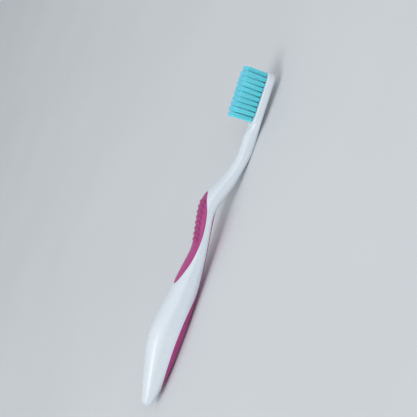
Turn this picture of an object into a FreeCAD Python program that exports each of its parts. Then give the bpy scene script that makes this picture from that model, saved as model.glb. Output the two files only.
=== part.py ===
import FreeCAD, Part
import Sketcher
import math
import os

# A manual toothbrush that lies on its back.
# +X runs from the butt of the handle to the tip of the head, +Z is the way the tufts point,
# and Y is the width. The origin is under the middle of the brush, on the surface that it lies on.
# Lengths are millimetres, angles are degrees.

DRIVING_SIZES = {
    "brush_length": 185.0,
    "grip_width": 14.8,
    "grip_height": 17.8,
    "neck_width": 6.0,
    "neck_thickness": 6.85,
    "head_length": 30.0,
    "head_width": 11.8,
    "head_thickness": 4.6,
    "head_lift": 2.0,
    "head_tilt": 2.5,
    "toe_radius": 4.6,
    "heel_radius": 5.6,
    "face_edge_radius": 0.8,
    "back_edge_radius": 1.8,
    "toe_margin": 2.1,
    "row_pitch": 2.7,
    "column_pitch": 2.55,
    "hole_width": 1.9,
    "hole_depth": 3.2,
    "tuft_height": 12.3,
    "tuft_tip_width": 2.5,
    "tuft_clearance": 0.02,
    "anchor_length": 2.3,
    "anchor_thickness": 0.25,
    "anchor_height": 1.5,
    "anchor_lift": 0.4,
    "rib_pitch": 2.85,
    "rib_width": 1.4,
    "rib_height": 0.45,
    "rib_length": 8.4,
    "grip_cover": 2.0,
    "strip_blend_radius": 40.0,
    "overrun": 5.0,
}

ROW_COUNT = 10
FULL_ROW_COLUMNS = 4
END_ROW_COLUMNS = 3
RIB_COUNT = 8

# Cross sections of the handle, from the butt towards the neck. The first share is of the way from
# the butt to the heel of the head; then the half width, of the grip width; then the top and the
# bottom, of the grip height. What lies under the rest plane is cut off flat.
HANDLE_SECTION_SHARES = (
    (0.000, 0.100, 0.410, 0.284),
    (0.004, 0.172, 0.453, 0.239),
    (0.011, 0.236, 0.497, 0.197),
    (0.028, 0.300, 0.546, 0.155),
    (0.058, 0.355, 0.626, 0.108),
    (0.100, 0.409, 0.736, 0.059),
    (0.148, 0.459, 0.851, 0.012),
    (0.197, 0.486, 0.950, -0.010),
    (0.248, 0.500, 1.000, -0.015),
    (0.365, 0.481, 0.888, 0.036),
    (0.500, 0.419, 0.747, 0.164),
    (0.553, 0.399, 0.703, 0.243),
    (0.610, 0.395, 0.785, 0.331),
    (0.658, 0.405, 0.874, 0.405),
    (0.703, 0.412, 0.927, 0.424),
    (0.739, 0.392, 0.871, 0.334),
    (0.790, 0.334, 0.683, 0.183),
    (0.842, 0.260, 0.483, 0.093),
)

# Cross sections of the neck: the same four shares, of the neck's width and thickness.
NECK_SECTION_SHARES = (
    (0.897, 0.525, 1.000, 0.005),
    (0.939, 0.500, 1.000, -0.035),
    (0.974, 0.530, 1.022, 0.030),
)

# Cross sections of the shoulders that run into the head. The first share is of the head's length,
# from its heel; then the half width, of the head's width; then the top and the bottom, of the head's
# thickness, above the back of its heel.
SHOULDER_SECTION_SHARES = (
    (-0.010, 0.340, 0.935, -0.220),
    (0.085, 0.440, 0.965, -0.090),
    (0.185, 0.490, 0.995, 0.015),
    (0.285, 0.494, 1.015, 0.075),
)

# The radius over the top or the bottom of a cross section, of its half width.
TOP_CROWN_SHARE = 1.6
BOTTOM_CROWN_SHARE = 2.5
SHOULDER_CROWN_SHARE = 4.0

# How far each corner of a cross section reaches down or up its side, of the height of the section.
CORNER_REACH_SHARE = 0.375

# Side outlines of the soft grips: the share of the way from the butt to the heel of the head, and
# the height, of the grip height.
THUMB_LINE_SHARES = ((0.4135, 0.840), (0.486, 0.685), (0.700, 0.814), (0.749, 0.843))
BELLY_LINE_SHARES = ((0.029, 0.072), (0.235, 0.268), (0.410, 0.144))
WAIST_LINE_SHARES = ((0.519, 0.270), (0.655, 0.491))
STRIP_NOSE_SHARES = (0.723, 0.340)

# The peg of the handle inside the back grip: its two ends, of the way from the butt to the heel of the
# head, its half width, of the grip width, and its top, of the grip height.
PEG_END_SHARES = (0.132, 0.352)
PEG_HALF_WIDTH_SHARE = 0.27
PEG_TOP_SHARE = 0.30

# Where the first rib of the thumb grip lies, of the way from the butt to the heel of the head.
FIRST_RIB_SHARE = 0.708

START, END, CENTRE = 1, 2, 3
ROOT_POINT, UPRIGHT_AXIS = -1, -2
TOUCHING = 1e-6

doc = FreeCAD.newDocument("toothbrush")


def fill_sheet():
    sheet = doc.addObject("Spreadsheet::Sheet", "sizes")
    for row, (alias, value) in enumerate(DRIVING_SIZES.items(), start=1):
        sheet.set(f"A{row}", alias)
        sheet.set(f"B{row}", str(value))
        sheet.setAlias(f"B{row}", alias)
    doc.recompute()


# A length is kept as shares of driving sizes, so that one description gives both the number that
# a shape starts from and the formula that ties it to the sheet.

def length(**shares):
    return shares


def total(*lengths):
    result = {}
    for one in lengths:
        for alias, share in one.items():
            result[alias] = result.get(alias, 0) + share
    return result


def times(factor, one):
    return {alias: factor * share for alias, share in one.items()}


def number(one):
    return sum(share * DRIVING_SIZES[alias] for alias, share in one.items())


def formula(one):
    terms = [f"sizes.{alias} * {share:.8g}" for alias, share in one.items()]
    return " + ".join(terms) if terms else "0"


NOTHING = length()


def along_handle(share):
    return length(brush_length=share - 0.5, head_length=-share)


def origin_feature(body, role):
    return next(item for item in body.Origin.OriginFeatures if item.Role == role)


def new_body(name):
    return doc.addObject("PartDesign::Body", name)


def new_sketch(body, name, role, offset=NOTHING):
    sketch = body.newObject("Sketcher::SketchObject", name)
    sketch.AttachmentSupport = (origin_feature(body, role), [""])
    sketch.MapMode = "FlatFace"
    sketch.setExpression("AttachmentOffset.Base.z", formula(offset))
    return sketch


def hold(sketch, kind, *places, size):
    """Adds a constraint with a size and ties it to the sheet."""
    index = sketch.addConstraint(Sketcher.Constraint(kind, *places, number(size)))
    sketch.setExpression(f"Constraints[{index}]", formula(size))


def hold_point(sketch, geometry, end, place):
    across, up = place
    hold(sketch, "DistanceX", ROOT_POINT, START, geometry, end, size=across)
    hold(sketch, "DistanceY", ROOT_POINT, START, geometry, end, size=up)


def vector(place):
    across, up = place
    return FreeCAD.Vector(number(across), number(up), 0)


def arc_through(first, middle, last):
    """The arc by way of middle, which always runs anticlockwise."""
    anticlockwise = (middle - first).cross(last - middle).z > 0
    return Part.Arc(first, middle, last) if anticlockwise else Part.Arc(last, middle, first)


def arc_of_radius(first, last, radius):
    """The arc from first to last whose middle bulges to the right."""
    chord = last - first
    bulge = FreeCAD.Vector(chord.y, -chord.x, 0).normalize()
    drop = math.sqrt(max(radius ** 2 - (chord.Length / 2) ** 2, 0))
    middle = (first + last) * 0.5 + bulge * (radius - drop)
    return arc_through(first, middle, last)


def arc_tangent(first, direction, last):
    """The arc that leaves first along direction and ends at last."""
    chord = last - first
    normal = FreeCAD.Vector(-direction.y, direction.x, 0)
    radius = chord.dot(chord) / (2 * chord.dot(normal))
    centre = first + normal * radius
    toward = ((first + last) * 0.5 - centre).normalize()
    return arc_through(first, centre + toward * abs(radius), last)


def end_at(geometry, point):
    return START if geometry.StartPoint.isEqual(point, TOUCHING) else END


def leaving_direction(geometry, point):
    """The direction in which a chain that arrives along this line or arc leaves at point."""
    tangent = geometry.tangent(geometry.parameter(point))[0]
    return tangent if end_at(geometry, point) == END else tangent * -1


def draw_outline(sketch, start, steps):
    """Draws a closed outline from start; each step is a kind, the place it goes to and its own value.

    Kinds: line; through, an arc by way of a place; round, an arc of a radius that bulges to the
    right; tangent, an arc that carries on from the line or arc before it.
    """
    here = vector(start)
    chain = []
    for kind, place, value in steps:
        there = vector(place)
        if kind == "line":
            geometry = Part.LineSegment(here, there)
        elif kind == "through":
            geometry = arc_through(here, vector(value), there)
        elif kind == "tangent":
            geometry = arc_tangent(here, leaving_direction(chain[-1][1], here), there)
        else:
            geometry = arc_of_radius(here, there, number(value))
        index = sketch.addGeometry(geometry, False)
        chain.append((index, geometry, end_at(geometry, here), end_at(geometry, there)))
        here = there

    for order, (kind, place, value) in enumerate(steps):
        index, _, _, last = chain[order]
        following = (order + 1) % len(steps)
        next_index, _, next_first, _ = chain[following]
        meeting = "Tangent" if steps[following][0] == "tangent" else "Coincident"
        sketch.addConstraint(Sketcher.Constraint(meeting, index, last, next_index, next_first))
        hold_point(sketch, index, last, place)
        if kind == "through":
            pin = sketch.addGeometry(Part.Point(vector(value)), True)
            hold_point(sketch, pin, START, value)
            sketch.addConstraint(Sketcher.Constraint("PointOnObject", pin, START, index))
        elif kind == "round":
            hold(sketch, "Radius", index, size=value)


def pad(body, sketch, height, both_ways=False):
    feature = body.newObject("PartDesign::Pad", "pad")
    feature.Profile = sketch
    feature.SideType = "Symmetric" if both_ways else "One side"
    feature.setExpression("Length", formula(height))
    return feature


def edges_where(feature, wanted):
    doc.recompute()
    return [f"Edge{place}" for place, edge in enumerate(feature.Shape.Edges, start=1) if wanted(edge)]


def fillet(body, base, edge_names, radius):
    feature = body.newObject("PartDesign::Fillet", "fillet")
    feature.Base = (base, edge_names)
    feature.setExpression("Radius", formula(radius))
    return feature


def boolean(kind, name, base, tool):
    feature = doc.addObject(kind, name)
    feature.Base = base
    feature.Tool = tool
    return feature


# Handle and neck

def draw_section(body, name, station, half_width, top, bottom, top_crown, bottom_crown):
    """A cross section: a crown over the top and the bottom, upright sides, and corners between them."""
    sketch = new_sketch(body, name, "YZ_Plane", station)
    top_radius = times(top_crown, half_width)
    bottom_radius = times(bottom_crown, half_width)
    reach = times(CORNER_REACH_SHARE, total(top, times(-1, bottom)))
    upper_level = total(top, times(-1, reach))
    lower_level = total(bottom, reach)

    wide, tall = number(half_width), number(reach)
    high, low = number(upper_level), number(lower_level)
    top_size, bottom_size = number(top_radius), number(bottom_radius)

    def corner(crown_radius):
        """The radius of a corner, and the angle at which it meets the crown."""
        radius = (2 * crown_radius * tall - tall ** 2 - wide ** 2) / (2 * (crown_radius - wide))
        return radius, math.atan2(crown_radius - tall, wide - radius)

    upper, upper_angle = corner(top_size)
    lower, lower_angle = corner(bottom_size)
    top_centre, bottom_centre = high + tall - top_size, low - tall + bottom_size
    quarter, half, full = math.pi / 2, math.pi, 2 * math.pi

    def arc(across, up, radius, first, last):
        circle = Part.Circle(FreeCAD.Vector(across, up, 0), FreeCAD.Vector(0, 0, 1), radius)
        return Part.ArcOfCircle(circle, first, last)

    def upright(across, first, last):
        return Part.LineSegment(FreeCAD.Vector(across, first, 0), FreeCAD.Vector(across, last, 0))

    outline = (
        upright(wide, low, high),
        arc(wide - upper, high, upper, 0, upper_angle),
        arc(0, top_centre, top_size, upper_angle, quarter),
        arc(0, top_centre, top_size, quarter, half - upper_angle),
        arc(upper - wide, high, upper, half - upper_angle, half),
        upright(-wide, high, low),
        arc(lower - wide, low, lower, half, half + lower_angle),
        arc(0, bottom_centre, bottom_size, half + lower_angle, half + quarter),
        arc(0, bottom_centre, bottom_size, half + quarter, full - lower_angle),
        arc(wide - lower, low, lower, full - lower_angle, full),
    )
    right_side, _, top_right, top_left, _, left_side, _, bottom_left, bottom_right, _ = (
        sketch.addGeometry(geometry, False) for geometry in outline)
    for index in range(len(outline)):
        following = (index + 1) % len(outline)
        sketch.addConstraint(Sketcher.Constraint("Tangent", index, END, following, START))
    for crown, end, height, radius, twin in (
        (top_right, END, top, top_radius, top_left),
        (bottom_right, START, bottom, bottom_radius, bottom_left),
    ):
        sketch.addConstraint(Sketcher.Constraint("PointOnObject", crown, end, UPRIGHT_AXIS))
        sketch.addConstraint(Sketcher.Constraint("PointOnObject", crown, CENTRE, UPRIGHT_AXIS))
        sketch.addConstraint(Sketcher.Constraint("Equal", crown, twin))
        hold(sketch, "DistanceY", ROOT_POINT, START, crown, end, size=height)
        hold(sketch, "Radius", crown, size=radius)
    hold_point(sketch, right_side, START, (half_width, lower_level))
    hold_point(sketch, right_side, END, (half_width, upper_level))
    hold_point(sketch, left_side, START, (times(-1, half_width), upper_level))
    hold_point(sketch, left_side, END, (times(-1, half_width), lower_level))
    return sketch


def make_blank():
    """The smooth form of the handle, neck and shoulders, before the grips are let into it."""
    body = new_body("blank")
    sections = []

    def add(station, half_width, top, bottom, top_crown, bottom_crown):
        name = f"section_{len(sections) + 1:02d}"
        sections.append(draw_section(body, name, station, half_width, top, bottom, top_crown, bottom_crown))

    for share, wide, top, bottom in HANDLE_SECTION_SHARES:
        add(along_handle(share), length(grip_width=wide), length(grip_height=top),
            length(grip_height=bottom), TOP_CROWN_SHARE, BOTTOM_CROWN_SHARE)
    for share, wide, top, bottom in NECK_SECTION_SHARES:
        add(along_handle(share), length(neck_width=wide), length(neck_thickness=top),
            length(neck_thickness=bottom), TOP_CROWN_SHARE, BOTTOM_CROWN_SHARE)
    for share, wide, top, bottom in SHOULDER_SECTION_SHARES:
        add(length(brush_length=0.5, head_length=share - 1), length(head_width=wide),
            length(head_lift=1, head_thickness=top), length(head_lift=1, head_thickness=bottom),
            SHOULDER_CROWN_SHARE, SHOULDER_CROWN_SHARE)

    loft = body.newObject("PartDesign::AdditiveLoft", "loft")
    loft.Profile = sections[0]
    loft.Sections = sections[1:]
    cut_rest_flats(body)
    return body


def cut_rest_flats(body):
    """Cuts the belly and the neck flat at the rest plane, so that the brush lies still on its back."""
    outline = new_sketch(body, "rest_plane", "XY_Plane")
    end = length(brush_length=0.5, overrun=1)
    side = length(grip_width=0.5, overrun=1)
    rear, other_side = times(-1, end), times(-1, side)
    draw_outline(outline, (rear, other_side), (
        ("line", (end, other_side), None),
        ("line", (end, side), None),
        ("line", (rear, side), None),
        ("line", (rear, other_side), None),
    ))
    flats = body.newObject("PartDesign::Pocket", "rest_flats")
    flats.Profile = outline
    flats.setExpression("Length", formula(length(overrun=1)))


# Head: its own frame starts at the back of the heel, with X towards the toe and Z out of the face.

HEAD_REACH = ("((sizes.head_length - sizes.back_edge_radius) * cos(sizes.head_tilt * 1 deg)"
              " - sizes.back_edge_radius * sin(sizes.head_tilt * 1 deg) + sizes.back_edge_radius)")
HEAD_FRAME = (f"placement(vector(sizes.brush_length / 2 - {HEAD_REACH}; 0; sizes.head_lift);"
              " rotation(vector(0; 1; 0); -sizes.head_tilt))")


def place_on_head(item, along, across, up):
    spot = f"vector({formula(along)}; {formula(across)}; {formula(up)})"
    item.setExpression("Placement", f"{HEAD_FRAME} * placement({spot}; rotation(vector(0; 1; 0); 0))")


def make_head():
    body = new_body("head")
    outline = new_sketch(body, "head_outline", "XY_Plane")
    side = length(head_width=0.5)
    other_side = times(-1, side)
    toe = length(head_length=1)
    toe_start = length(head_length=1, toe_radius=-1)
    toe_flat = length(head_width=0.5, toe_radius=-1)
    heel_end = length(heel_radius=1)
    heel_flat = length(head_width=0.5, heel_radius=-1)
    toe_round, heel_round = length(toe_radius=1), length(heel_radius=1)
    draw_outline(outline, (heel_end, other_side), (
        ("line", (toe_start, other_side), None),
        ("round", (toe, times(-1, toe_flat)), toe_round),
        ("line", (toe, toe_flat), None),
        ("round", (toe_start, side), toe_round),
        ("line", (heel_end, side), None),
        ("round", (NOTHING, heel_flat), heel_round),
        ("line", (NOTHING, times(-1, heel_flat)), None),
        ("round", (heel_end, other_side), heel_round),
    ))
    thickness = length(head_thickness=1)
    plate = pad(body, outline, thickness)

    def at_height(height):
        return lambda edge: all(abs(point.Z - height) < TOUCHING for point in edge.Vertexes)

    face_edges = edges_where(plate, at_height(number(thickness)))
    rounded_face = fillet(body, plate, face_edges, length(face_edge_radius=1))
    back_edges = edges_where(rounded_face, at_height(0))
    fillet(body, rounded_face, back_edges, length(back_edge_radius=1))
    place_on_head(body, NOTHING, NOTHING, NOTHING)
    return body


# Tufts and their anchors

def tuft_places():
    """The name of each tuft, and its place along and across the head's face."""
    for row in range(ROW_COUNT):
        end_row = row in (0, ROW_COUNT - 1)
        columns = END_ROW_COLUMNS if end_row else FULL_ROW_COLUMNS
        for column in range(columns):
            along = length(head_length=1, toe_margin=-1, row_pitch=-row)
            across = length(column_pitch=column - (columns - 1) / 2)
            yield f"row_{row + 1:02d}_col_{column + 1}", along, across


HOLE_FLOOR = length(head_thickness=1, hole_depth=-1)


def make_tuft(name, along, across):
    """A bundle of filaments from the floor of its hole up to the trim, with a gap round its anchor."""
    body = new_body(f"tuft_{name}")
    profile = new_sketch(body, "profile", "XZ_Plane")
    foot = length(hole_width=0.5, tuft_clearance=-1)
    tip = length(tuft_tip_width=0.5)
    top = length(hole_depth=1, tuft_height=1)
    draw_outline(profile, (NOTHING, NOTHING), (
        ("line", (foot, NOTHING), None),
        ("line", (foot, length(hole_depth=1)), None),
        ("line", (tip, top), None),
        ("line", (NOTHING, top), None),
        ("line", (NOTHING, NOTHING), None),
    ))
    bundle = body.newObject("PartDesign::Revolution", "bundle")
    bundle.Profile = profile
    bundle.ReferenceAxis = (profile, ["V_Axis"])

    gap = new_sketch(body, "anchor_gap", "YZ_Plane")
    side = length(anchor_thickness=0.5, tuft_clearance=1)
    low = length(anchor_lift=1, tuft_clearance=-1)
    high = length(anchor_lift=1, anchor_height=1, tuft_clearance=1)
    draw_outline(gap, (times(-1, side), low), (
        ("line", (side, low), None),
        ("line", (side, high), None),
        ("line", (times(-1, side), high), None),
        ("line", (times(-1, side), low), None),
    ))
    cut = body.newObject("PartDesign::Pocket", "anchor_cut")
    cut.Profile = gap
    cut.SideType = "Symmetric"
    cut.Type = "ThroughAll"
    place_on_head(body, along, across, HOLE_FLOOR)
    return body


def make_anchor_box(name, along, across, room):
    """A flat anchor across the foot of a tuft, or the slot for it with some room all round."""
    box = doc.addObject("Part::Box", name)
    long = length(anchor_length=1, tuft_clearance=2 * room)
    thick = length(anchor_thickness=1, tuft_clearance=2 * room)
    box.setExpression("Length", formula(long))
    box.setExpression("Width", formula(thick))
    box.setExpression("Height", formula(length(anchor_height=1, tuft_clearance=2 * room)))
    place_on_head(box, total(along, times(-0.5, long)), total(across, times(-0.5, thick)),
                  total(HOLE_FLOOR, length(anchor_lift=1, tuft_clearance=-room)))
    return box


def make_hole(name, along, across):
    hole = doc.addObject("Part::Cylinder", f"hole_{name}")
    hole.setExpression("Radius", formula(length(hole_width=0.5)))
    hole.setExpression("Height", formula(length(hole_depth=1, overrun=1)))
    place_on_head(hole, along, across, HOLE_FLOOR)
    return hole


# Soft grips: each fills the part of the blank that lies within a zone drawn from the side.

def make_zone(name, start, steps):
    body = new_body(name)
    outline = new_sketch(body, f"{name}_outline", "XZ_Plane")
    draw_outline(outline, start, steps)
    zone = pad(body, outline, length(grip_width=1, overrun=2), both_ways=True)
    return body, zone


def side_place(along_share, height_share):
    return along_handle(along_share), length(grip_height=height_share)


def make_thumb_zone():
    rear, fall, rise, nose = (side_place(*shares) for shares in THUMB_LINE_SHARES)
    above = length(grip_height=1, overrun=1)
    body, _ = make_zone("thumb_zone", rear, (
        ("line", fall, None),
        ("tangent", rise, None),
        ("tangent", nose, None),
        ("line", (nose[0], above), None),
        ("line", (rear[0], above), None),
        ("line", rear, None),
    ))
    return body


def make_back_zone():
    rear, belly, pinch = (side_place(*shares) for shares in BELLY_LINE_SHARES)
    waist, nose_start = (side_place(*shares) for shares in WAIST_LINE_SHARES)
    nose = side_place(*STRIP_NOSE_SHARES)
    below = length(overrun=-1)
    body, zone = make_zone("back_zone", rear, (
        ("through", pinch, belly),
        ("through", nose_start, waist),
        ("tangent", nose, None),
        ("line", (nose[0], below), None),
        ("line", (rear[0], below), None),
        ("line", rear, None),
    ))

    def at_pinch(edge):
        across, up = number(pinch[0]), number(pinch[1])
        return all(math.hypot(point.X - across, point.Z - up) < TOUCHING for point in edge.Vertexes)

    fillet(body, zone, edges_where(zone, at_pinch), length(strip_blend_radius=1))
    return body


def make_peg():
    """The long peg of the handle that stands inside the back grip and keys it in place."""
    body = new_body("peg")
    cover = length(grip_cover=1)
    outline = new_sketch(body, "peg_outline", "XY_Plane", cover)
    rear, front = (along_handle(share) for share in PEG_END_SHARES)
    side = length(grip_width=PEG_HALF_WIDTH_SHARE)
    other_side = times(-1, side)
    rear_end, front_end = total(rear, other_side), total(front, side)
    draw_outline(outline, (rear, other_side), (
        ("line", (front, other_side), None),
        ("through", (front, side), (front_end, NOTHING)),
        ("line", (rear, side), None),
        ("through", (rear, other_side), (rear_end, NOTHING)),
    ))
    pad(body, outline, total(length(grip_height=PEG_TOP_SHARE), times(-1, cover)))
    return body


def make_ribs(blank):
    """Raised ribs across the thumb grip, level with the blank lifted by the height of a rib."""
    bars = new_body("rib_bars")
    outline = new_sketch(bars, "rib_outline", "XY_Plane")
    middle = along_handle(FIRST_RIB_SHARE)
    rear = total(middle, length(rib_width=-0.5))
    front = total(middle, length(rib_width=0.5))
    end = length(rib_length=0.5)
    side = length(rib_length=0.5, rib_width=-0.5)
    other_end, other_side = times(-1, end), times(-1, side)
    draw_outline(outline, (rear, other_side), (
        ("through", (front, other_side), (middle, other_end)),
        ("line", (front, side), None),
        ("through", (rear, side), (middle, end)),
        ("line", (rear, other_side), None),
    ))
    bar = pad(bars, outline, length(grip_height=1, overrun=1))
    row = bars.newObject("PartDesign::LinearPattern", "rib_row")
    row.Originals = [bar]
    row.Direction = (outline, ["H_Axis"])
    row.Reversed = True
    row.Occurrences = RIB_COUNT
    row.setExpression("Length", formula(length(rib_pitch=RIB_COUNT - 1)))
    bars.Tip = row
    lifted = doc.addObject("Part::Compound", "lifted_blank")
    lifted.Links = [blank]
    lifted.setExpression("Placement.Base.z", formula(length(rib_height=1)))
    return boolean("Part::Common", "ribs", lifted, bars)


fill_sheet()
blank = make_blank()
head = make_head()
thumb_zone = make_thumb_zone()
back_zone = make_back_zone()
peg = make_peg()
ribs = make_ribs(blank)

tufts = []
anchor_boxes = []
sockets = []
for name, along, across in tuft_places():
    tufts.append(make_tuft(name, along, across))
    anchor_boxes.append(make_anchor_box(f"anchor_{name}", along, across, 0))
    sockets.append(make_anchor_box(f"slot_{name}", along, across, 1))
    sockets.append(make_hole(name, along, across))

anchors = doc.addObject("Part::Compound", "anchors")
anchors.Links = anchor_boxes

socket_group = doc.addObject("Part::MultiFuse", "sockets")
socket_group.Shapes = sockets

ribbed_blank = boolean("Part::Fuse", "ribbed_blank", blank, ribs)
thumb_grip = boolean("Part::Common", "thumb_grip", ribbed_blank, thumb_zone)
back_fill = boolean("Part::Common", "back_fill", blank, back_zone)
back_grip = boolean("Part::Cut", "back_grip", back_fill, peg)
thumb_recessed = boolean("Part::Cut", "thumb_recessed", blank, thumb_zone)
back_recess = boolean("Part::Cut", "back_recess", back_zone, peg)
recessed_blank = boolean("Part::Cut", "recessed_blank", thumb_recessed, back_recess)
whole_moulding = boolean("Part::Fuse", "whole_moulding", recessed_blank, head)
handle = boolean("Part::Cut", "handle", whole_moulding, socket_group)
doc.recompute()

for item in doc.Objects:
    if "Invalid" in item.State or "Error" in item.State:
        raise RuntimeError(f"{item.Label} failed: {item.State}")

os.makedirs("parts", exist_ok=True)
for item in [handle, thumb_grip, back_grip, anchors] + tufts:
    if item.Shape.isNull() or not item.Shape.isValid():
        raise RuntimeError(f"{item.Label} has no valid shape")
for item in [handle, thumb_grip, back_grip, anchors] + tufts:
    item.Shape.exportStep(f"parts/{item.Label}.step")
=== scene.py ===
import math
import random

import bmesh
import bpy
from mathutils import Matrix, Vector


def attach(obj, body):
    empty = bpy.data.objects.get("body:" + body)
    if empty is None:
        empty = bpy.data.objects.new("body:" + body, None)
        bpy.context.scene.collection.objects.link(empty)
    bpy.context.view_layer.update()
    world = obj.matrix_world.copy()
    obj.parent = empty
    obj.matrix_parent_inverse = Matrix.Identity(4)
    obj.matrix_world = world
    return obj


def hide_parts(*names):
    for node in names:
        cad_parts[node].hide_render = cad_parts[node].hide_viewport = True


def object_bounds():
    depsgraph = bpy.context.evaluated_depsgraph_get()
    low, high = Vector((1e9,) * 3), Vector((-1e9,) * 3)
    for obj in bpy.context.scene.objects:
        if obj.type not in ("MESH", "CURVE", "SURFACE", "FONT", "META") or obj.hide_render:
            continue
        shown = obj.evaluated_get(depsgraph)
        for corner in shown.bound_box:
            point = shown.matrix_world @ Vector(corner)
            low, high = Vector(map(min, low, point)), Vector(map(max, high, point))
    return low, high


# A manual toothbrush that lies on its back on a pale floor, seen from its side.
# Everything is in metres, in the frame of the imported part: +X from the butt to the toe of the head,
# +Z the way the tufts point.

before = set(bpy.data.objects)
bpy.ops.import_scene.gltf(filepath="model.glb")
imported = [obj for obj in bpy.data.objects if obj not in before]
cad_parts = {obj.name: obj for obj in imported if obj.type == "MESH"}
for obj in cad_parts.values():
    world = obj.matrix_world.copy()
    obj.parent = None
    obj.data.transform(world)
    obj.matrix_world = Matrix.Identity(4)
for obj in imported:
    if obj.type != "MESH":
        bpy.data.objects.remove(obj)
cad_low, cad_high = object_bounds()

MM = 0.001

# How the photograph shows the brush, in its own pixels: the length of the brush, the direction of its
# +X axis, anticlockwise from the right, and where the point MIDDLE_HEIGHT above the origin appears.
PHOTO_PIXELS = 417
BRUSH_PIXELS = 354.0
BRUSH_ANGLE = math.radians(69.5)
MIDDLE_PIXEL = (209.4, 239.4)
MIDDLE_HEIGHT = 5.0 * MM
VIEW_ELEVATION = math.radians(18.0)
LENS_MM = 100.0
SENSOR_MM = 36.0
NEAREST_SEEN = 0.01
FARTHEST_SEEN = 20.0

# The tufts lean back by the tilt of the head.
HEAD_TILT = math.radians(2.5)
HEAD_ALONG = Vector((math.cos(HEAD_TILT), 0, math.sin(HEAD_TILT)))
HEAD_ACROSS = Vector((0, 1, 0))
HEAD_OUT = Vector((-math.sin(HEAD_TILT), 0, math.cos(HEAD_TILT)))

# Filaments of one tuft: packed evenly over a disk, tight in the hole, and spreading as soon as they are
# out of it until they nearly meet those of the next tuft. The tips make a low dome. A body step is a
# share of the height and the share of the spread that is reached there; a tip step is a share of the
# rounded end and of the radius.
FILAMENT_COUNT = 48
FILAMENT_RADIUS = 0.1 * MM
FILAMENT_SIDES = 6
ROOT_REACH = 0.84 * MM
TIP_REACH = 1.27 * MM
ROOT_SUNK = 0.6 * MM
HOLE_DEPTH = 3.2 * MM
TURN_BETWEEN = math.pi * (3 - math.sqrt(5))
TIP_JITTER = 0.07 * MM
LENGTH_JITTER = 0.12 * MM
TIP_DOME = 0.45 * MM
TRIM_JITTER = 0.10 * MM
BODY_STEPS = ((0.0, 0.0), (0.16, 0.66), (0.45, 0.97), (1.0, 1.0))
TIP_STEPS = ((0.55, 0.82), (0.92, 0.42))

# The heel row is bent towards the handle, and the rows within LEANING_REACH of it less and less.
HEEL_LEAN = 0.4 * MM
LEANING_REACH = 16.0 * MM

# The "along" value of a filament is 0 at its root, BODY_ALONG where its rounded end starts, and 1 on
# that end. Its colour changes over these stretches of the value, with painted light near the root.
BODY_ALONG = 0.98
ROOT_LIGHT_BLEND = (0.12, 0.5)
TIP_BLEND = (0.96, 1.0)

# Painted shade for the grooves between the ribs: how far they look for a wall, and the openness that counts
# as shaded groove and as unshaded top.
GROOVE_SHADE_REACH = 1.2 * MM
GROOVE_SHADE_SAMPLES = 32
GROOVE_SHADE_BLEND = (0.55, 0.95)

# Colours as they look on screen, from 0 to 255. A pair is blended in patches or from strand to strand.
HANDLE_COLOURS = ((212, 220, 228), (218, 225, 232))
GRIP_COLOURS = ((160, 51, 118), (174, 62, 131))
# Painted shade laid into the grooves between the grip's ribs.
GROOVE_PAINTED_SHADE = (132, 40, 92)
STRAND_COLOURS = ((112, 238, 254), (146, 247, 255))
# Painted light: a bright saturated cyan near the roots that offsets the shade deep among the packed
# filaments.
ROOT_PAINTED_LIGHT = (114, 243, 254)
TIP_COLOUR = (140, 216, 242)
BRASS_COLOURS = ((206, 178, 116), (228, 204, 142))
FLOOR_COLOURS = ((209, 211, 214), (213, 215, 218))
SURROUND_COLOUR = (214, 218, 222)

# Light: a lamp's place, size across, power in watts and colour. Both lamps point at the origin.
KEY_LAMP = ((-1.1, -1.05, 1.55), 1.2, 19.5, (1.0, 0.99, 0.97))
FILL_LAMP = ((1.1, -2.8, 1.3), 2.0, 20.0, (0.95, 0.98, 1.0))
AMBIENT_COLOUR = (0.93, 0.97, 1.0, 1.0)
AMBIENT_LEVEL = 0.6
FLOOR_REACH = 3.0

# The part of a noise's range that most of its values fall in, and the colour sockets of a Mix node.
NOISE_RANGE = (0.3, 0.7)
MIX_FIRST, MIX_SECOND, MIX_RESULT = 6, 7, 2


def linear(red, green, blue):
    """A colour given as it looks on screen, from 0 to 255, as the light values that shaders take."""
    def one(value):
        share = value / 255
        return share / 12.92 if share <= 0.04045 else ((share + 0.055) / 1.055) ** 2.4
    return (one(red), one(green), one(blue), 1.0)


# Materials

def new_shader(name):
    material = bpy.data.materials.new(name)
    material.use_nodes = True
    tree = material.node_tree
    return material, tree, tree.nodes["Principled BSDF"]


def add_node(tree, kind, **values):
    node = tree.nodes.new(kind)
    for key, value in values.items():
        if key in node.inputs:
            node.inputs[key].default_value = value
        else:
            setattr(node, key, value)
    return node


def object_noise(tree, scale, detail):
    """Noise over the object's own space; scale counts features in a metre."""
    coordinates = add_node(tree, "ShaderNodeTexCoord")
    noise = add_node(tree, "ShaderNodeTexNoise", Scale=scale, Detail=detail)
    tree.links.new(coordinates.outputs["Object"], noise.inputs["Vector"])
    return noise.outputs["Fac"]


def remap(tree, source, from_low, from_high, to_low=0.0, to_high=1.0):
    """Maps one range of a value to another."""
    node = add_node(tree, "ShaderNodeMapRange")
    node.inputs["From Min"].default_value = from_low
    node.inputs["From Max"].default_value = from_high
    node.inputs["To Min"].default_value = to_low
    node.inputs["To Max"].default_value = to_high
    tree.links.new(source, node.inputs["Value"])
    return node.outputs["Result"]


def spread(tree, noise, low=0.0, high=1.0):
    """Maps the middle of a noise to the range from low to high."""
    return remap(tree, noise, *NOISE_RANGE, low, high)


def blend_colours(tree, factor, first, second):
    """Blends two colours, each given as it looks on screen or as the output of another node."""
    mix = add_node(tree, "ShaderNodeMix", data_type="RGBA")
    tree.links.new(factor, mix.inputs["Factor"])
    for place, colour in ((MIX_FIRST, first), (MIX_SECOND, second)):
        if isinstance(colour, tuple):
            mix.inputs[place].default_value = linear(*colour)
        else:
            tree.links.new(colour, mix.inputs[place])
    return mix.outputs[MIX_RESULT]


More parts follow.
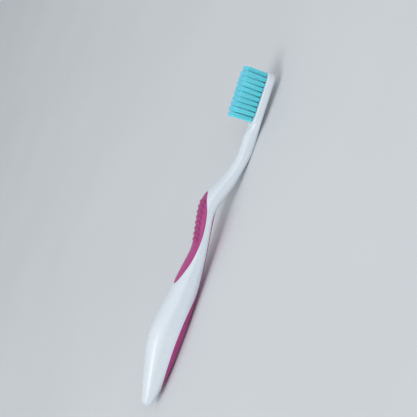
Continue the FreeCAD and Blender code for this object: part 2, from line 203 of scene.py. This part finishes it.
def add_bump(tree, shader, height, strength, distance):
    bump = add_node(tree, "ShaderNodeBump", Strength=strength, Distance=distance)
    tree.links.new(height, bump.inputs["Height"])
    tree.links.new(bump.outputs["Normal"], shader.inputs["Normal"])


def make_handle_plastic():
    """Glossy white moulding, slightly cool, with faint flow marks in its polish."""
    material, tree, shader = new_shader("handle_plastic")
    patches = spread(tree, object_noise(tree, 45.0, 2.0))
    tree.links.new(blend_colours(tree, patches, *HANDLE_COLOURS), shader.inputs["Base Color"])
    polish = spread(tree, object_noise(tree, 160.0, 3.0), 0.24, 0.32)
    tree.links.new(polish, shader.inputs["Roughness"])
    shader.inputs["IOR"].default_value = 1.49
    add_bump(tree, shader, object_noise(tree, 220.0, 1.0), 0.1, 0.02 * MM)
    return material


def make_soft_grip():
    """Matt magenta soft plastic with a fine moulded grain, and painted shade darkening the grooves between
    its ribs.
    """
    material, tree, shader = new_shader("soft_grip")
    patches = spread(tree, object_noise(tree, 90.0, 3.0))
    colour = blend_colours(tree, patches, *GRIP_COLOURS)
    # Painted shade: the grip colour darkens to the groove shade where ambient occlusion finds the walls of
    # the grooves.
    openness = add_node(tree, "ShaderNodeAmbientOcclusion", Distance=GROOVE_SHADE_REACH,
                        samples=GROOVE_SHADE_SAMPLES, only_local=True)
    unshaded_share = remap(tree, openness.outputs["AO"], *GROOVE_SHADE_BLEND)
    groove_shaded_colour = blend_colours(tree, unshaded_share, GROOVE_PAINTED_SHADE, colour)
    tree.links.new(groove_shaded_colour, shader.inputs["Base Color"])
    matt = spread(tree, object_noise(tree, 1500.0, 4.0), 0.46, 0.62)
    tree.links.new(matt, shader.inputs["Roughness"])
    shader.inputs["IOR"].default_value = 1.5
    shader.inputs["Sheen Weight"].default_value = 0.08
    add_bump(tree, shader, object_noise(tree, 4200.0, 3.0), 0.22, 0.05 * MM)
    return material


def make_filament():
    """Cyan nylon: painted light near the roots against the shade deep in the tuft, greyer at the cut and
    rounded tips, and uneven from strand to strand.
    """
    material, tree, shader = new_shader("filament")
    along = add_node(tree, "ShaderNodeAttribute", attribute_name="along")
    strand = add_node(tree, "ShaderNodeAttribute", attribute_name="strand")
    body = blend_colours(tree, strand.outputs["Fac"], *STRAND_COLOURS)
    # Painted light: towards the root the colour turns to a bright cyan that offsets the shade among the
    # packed filaments.
    past_root = remap(tree, along.outputs["Fac"], *ROOT_LIGHT_BLEND)
    root_lit_colour = blend_colours(tree, past_root, ROOT_PAINTED_LIGHT, body)
    at_tip = remap(tree, along.outputs["Fac"], *TIP_BLEND)
    colour = blend_colours(tree, at_tip, root_lit_colour, TIP_COLOUR)
    tree.links.new(colour, shader.inputs["Base Color"])
    gloss = spread(tree, object_noise(tree, 2500.0, 2.0), 0.38, 0.5)
    tree.links.new(gloss, shader.inputs["Roughness"])
    shader.inputs["IOR"].default_value = 1.53
    shader.inputs["Specular IOR Level"].default_value = 0.7
    return material


def make_anchor_metal():
    """Cut flat wire: brass with drawing marks along it."""
    material, tree, shader = new_shader("anchor_metal")
    streaks = spread(tree, object_noise(tree, 6000.0, 2.0))
    tree.links.new(blend_colours(tree, streaks, *BRASS_COLOURS), shader.inputs["Base Color"])
    shine = spread(tree, object_noise(tree, 9000.0, 2.0), 0.25, 0.4)
    tree.links.new(shine, shader.inputs["Roughness"])
    shader.inputs["Metallic"].default_value = 1.0
    return material


def make_floor_finish():
    """Plain pale floor with hardly visible patches."""
    material, tree, shader = new_shader("floor_finish")
    patches = spread(tree, object_noise(tree, 6.0, 2.0))
    tree.links.new(blend_colours(tree, patches, *FLOOR_COLOURS), shader.inputs["Base Color"])
    shader.inputs["Roughness"].default_value = 0.85
    return material


def finish_node(node, material):
    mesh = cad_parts[node].data
    mesh.materials.clear()
    mesh.materials.append(material)


# Filaments

def packed_places():
    """Evenly packed places over a disk of radius one."""
    for order in range(FILAMENT_COUNT):
        reach = math.sqrt((order + 0.5) / FILAMENT_COUNT)
        angle = order * TURN_BETWEEN
        yield reach * math.cos(angle), reach * math.sin(angle)


def tuft_line(node):
    """The foot of a tuft in the mouth of its hole, and how far it stands out of the face."""
    points = [vertex.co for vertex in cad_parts[node].data.vertices]
    along = [point.dot(HEAD_ALONG) for point in points]
    across = [point.dot(HEAD_ACROSS) for point in points]
    out = [point.dot(HEAD_OUT) for point in points]
    middle = HEAD_ALONG * ((min(along) + max(along)) / 2) + HEAD_ACROSS * ((min(across) + max(across)) / 2)
    foot = middle + HEAD_OUT * (min(out) + HOLE_DEPTH)
    return foot, max(out) - min(out) - HOLE_DEPTH


def add_filament(build, chance, place, height, lean, layers):
    """One filament from inside the hole to its rounded tip, as rings of corners."""
    drop = TIP_DOME * (place[0] ** 2 + place[1] ** 2) + abs(chance.gauss(0, LENGTH_JITTER))
    sway = Vector((chance.gauss(0, TIP_JITTER) - lean, chance.gauss(0, TIP_JITTER), 0))
    strand = chance.random()
    turn = chance.random() * 2 * math.pi
    along_layer, strand_layer = layers

    rise_to_end = height - drop - FILAMENT_RADIUS + ROOT_SUNK
    stops = []
    for share, spread_share in BODY_STEPS:
        reach = ROOT_REACH + (TIP_REACH - ROOT_REACH) * spread_share
        upright = Vector((place[0] * reach, place[1] * reach, rise_to_end * share - ROOT_SUNK))
        stops.append((upright + sway * share ** 2, FILAMENT_RADIUS, share * BODY_ALONG))
    end = stops[-1][0]
    for rise, width in TIP_STEPS:
        stops.append((end + Vector((0, 0, FILAMENT_RADIUS * rise)), FILAMENT_RADIUS * width, 1.0))

    def corner(centre, radius, share, angle):
        spot = centre + Vector((math.cos(angle), math.sin(angle), 0)) * radius
        vertex = build.verts.new(HEAD_ALONG * spot.x + HEAD_ACROSS * spot.y + HEAD_OUT * spot.z)
        vertex[along_layer] = share
        vertex[strand_layer] = strand
        return vertex

    angles = [turn + k * 2 * math.pi / FILAMENT_SIDES for k in range(FILAMENT_SIDES)]
    rings = [[corner(centre, radius, share, angle) for angle in angles] for centre, radius, share in stops]
    for lower, upper in zip(rings, rings[1:]):
        for k in range(FILAMENT_SIDES):
            following = (k + 1) % FILAMENT_SIDES
            build.faces.new((lower[k], lower[following], upper[following], upper[k]))
    build.faces.new(rings[-1])
    build.faces.new(list(reversed(rings[0])))


def make_tuft(node, heel_x, finish):
    """The filaments of one tuft as one piece, in place of its plain solid."""
    chance = random.Random(node)
    foot, height = tuft_line(node)
    build = bmesh.new()
    layers = (build.verts.layers.float.new("along"), build.verts.layers.float.new("strand"))
    height -= chance.random() * TRIM_JITTER
    nearness_to_heel = max(0, 1 - (foot.x - heel_x) / LEANING_REACH)
    lean = HEEL_LEAN * nearness_to_heel ** 2
    for place in packed_places():
        add_filament(build, chance, place, height, lean, layers)
    bmesh.ops.translate(build, vec=foot, verts=build.verts)
    mesh = bpy.data.meshes.new(f"filaments_{node}")
    build.to_mesh(mesh)
    build.free()
    mesh.polygons.foreach_set("use_smooth", [True] * len(mesh.polygons))
    mesh.materials.append(finish)
    piece = bpy.data.objects.new(f"filaments_{node}", mesh)
    bpy.context.scene.collection.objects.link(piece)
    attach(piece, "root")
    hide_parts(node)


# Stage, light and camera

def make_floor(finish):
    corners = [(-FLOOR_REACH, -FLOOR_REACH, 0), (FLOOR_REACH, -FLOOR_REACH, 0),
               (FLOOR_REACH, FLOOR_REACH, 0), (-FLOOR_REACH, FLOOR_REACH, 0)]
    mesh = bpy.data.meshes.new("floor")
    mesh.from_pydata(corners, [], [(0, 1, 2, 3)])
    mesh.materials.append(finish)
    floor = bpy.data.objects.new("floor", mesh)
    bpy.context.scene.collection.objects.link(floor)


def add_softbox(name, place, size, power, colour):
    light = bpy.data.lights.new(name, "AREA")
    light.shape = "DISK"
    light.size = size
    light.energy = power
    light.color = colour
    lamp = bpy.data.objects.new(name, light)
    lamp.location = place
    lamp.rotation_euler = (-Vector(place)).to_track_quat("-Z", "Y").to_euler()
    bpy.context.scene.collection.objects.link(lamp)


def make_world():
    """Soft light from all round, and a pale surround where the camera or a reflection sees past the floor."""
    world = bpy.data.worlds.new("studio")
    world.use_nodes = True
    tree = world.node_tree
    ambient = tree.nodes["Background"]
    ambient.inputs["Color"].default_value = AMBIENT_COLOUR
    ambient.inputs["Strength"].default_value = AMBIENT_LEVEL
    surround = add_node(tree, "ShaderNodeBackground", Color=linear(*SURROUND_COLOUR), Strength=1.0)
    path = add_node(tree, "ShaderNodeLightPath")
    seen = path.outputs["Is Camera Ray"]
    for kind in ("Is Glossy Ray", "Is Transmission Ray"):
        either = add_node(tree, "ShaderNodeMath", operation="MAXIMUM")
        tree.links.new(seen, either.inputs[0])
        tree.links.new(path.outputs[kind], either.inputs[1])
        seen = either.outputs["Value"]
    choice = add_node(tree, "ShaderNodeMixShader")
    tree.links.new(seen, choice.inputs[0])
    tree.links.new(ambient.outputs["Background"], choice.inputs[1])
    tree.links.new(surround.outputs["Background"], choice.inputs[2])
    tree.links.new(choice.outputs["Shader"], tree.nodes["World Output"].inputs["Surface"])
    bpy.context.scene.world = world


def make_camera():
    """Stands the camera where the brush lies in its frame as it does in the photograph."""
    pixel = (cad_high.x - cad_low.x) / BRUSH_PIXELS
    ahead = Vector((0, math.cos(VIEW_ELEVATION), -math.sin(VIEW_ELEVATION)))
    level_up = Vector((0, math.sin(VIEW_ELEVATION), math.cos(VIEW_ELEVATION)))
    along = Vector((1, 0, 0))
    right = along * math.cos(BRUSH_ANGLE) - level_up * math.sin(BRUSH_ANGLE)
    up = along * math.sin(BRUSH_ANGLE) + level_up * math.cos(BRUSH_ANGLE)
    middle = PHOTO_PIXELS / 2
    centre = Vector((0, 0, MIDDLE_HEIGHT))
    centre -= right * ((MIDDLE_PIXEL[0] - middle) * pixel)
    centre += up * ((MIDDLE_PIXEL[1] - middle) * pixel)
    distance = PHOTO_PIXELS * pixel * LENS_MM / SENSOR_MM

    data = bpy.data.cameras.new("camera")
    data.lens = LENS_MM
    data.sensor_width = SENSOR_MM
    data.clip_start = NEAREST_SEEN
    data.clip_end = FARTHEST_SEEN
    camera = bpy.data.objects.new("camera", data)
    turn = camera.matrix_world.to_3x3()
    turn.col[0], turn.col[1], turn.col[2] = right, up, -ahead
    camera.matrix_world = turn.to_4x4()
    camera.location = centre - ahead * distance
    bpy.context.scene.collection.objects.link(camera)
    bpy.context.scene.camera = camera


handle_plastic = make_handle_plastic()
soft_grip = make_soft_grip()
filament = make_filament()
finish_node("handle", handle_plastic)
finish_node("thumb_grip", soft_grip)
finish_node("back_grip", soft_grip)
finish_node("anchors", make_anchor_metal())
tuft_nodes = sorted(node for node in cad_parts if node.startswith("tuft_"))
heel_foot_x = min(tuft_line(node)[0].x for node in tuft_nodes)
for node in tuft_nodes:
    make_tuft(node, heel_foot_x, filament)

make_floor(make_floor_finish())
make_world()
add_softbox("key", *KEY_LAMP)
add_softbox("fill", *FILL_LAMP)
make_camera()
bpy.context.scene.view_settings.view_transform = "Standard"
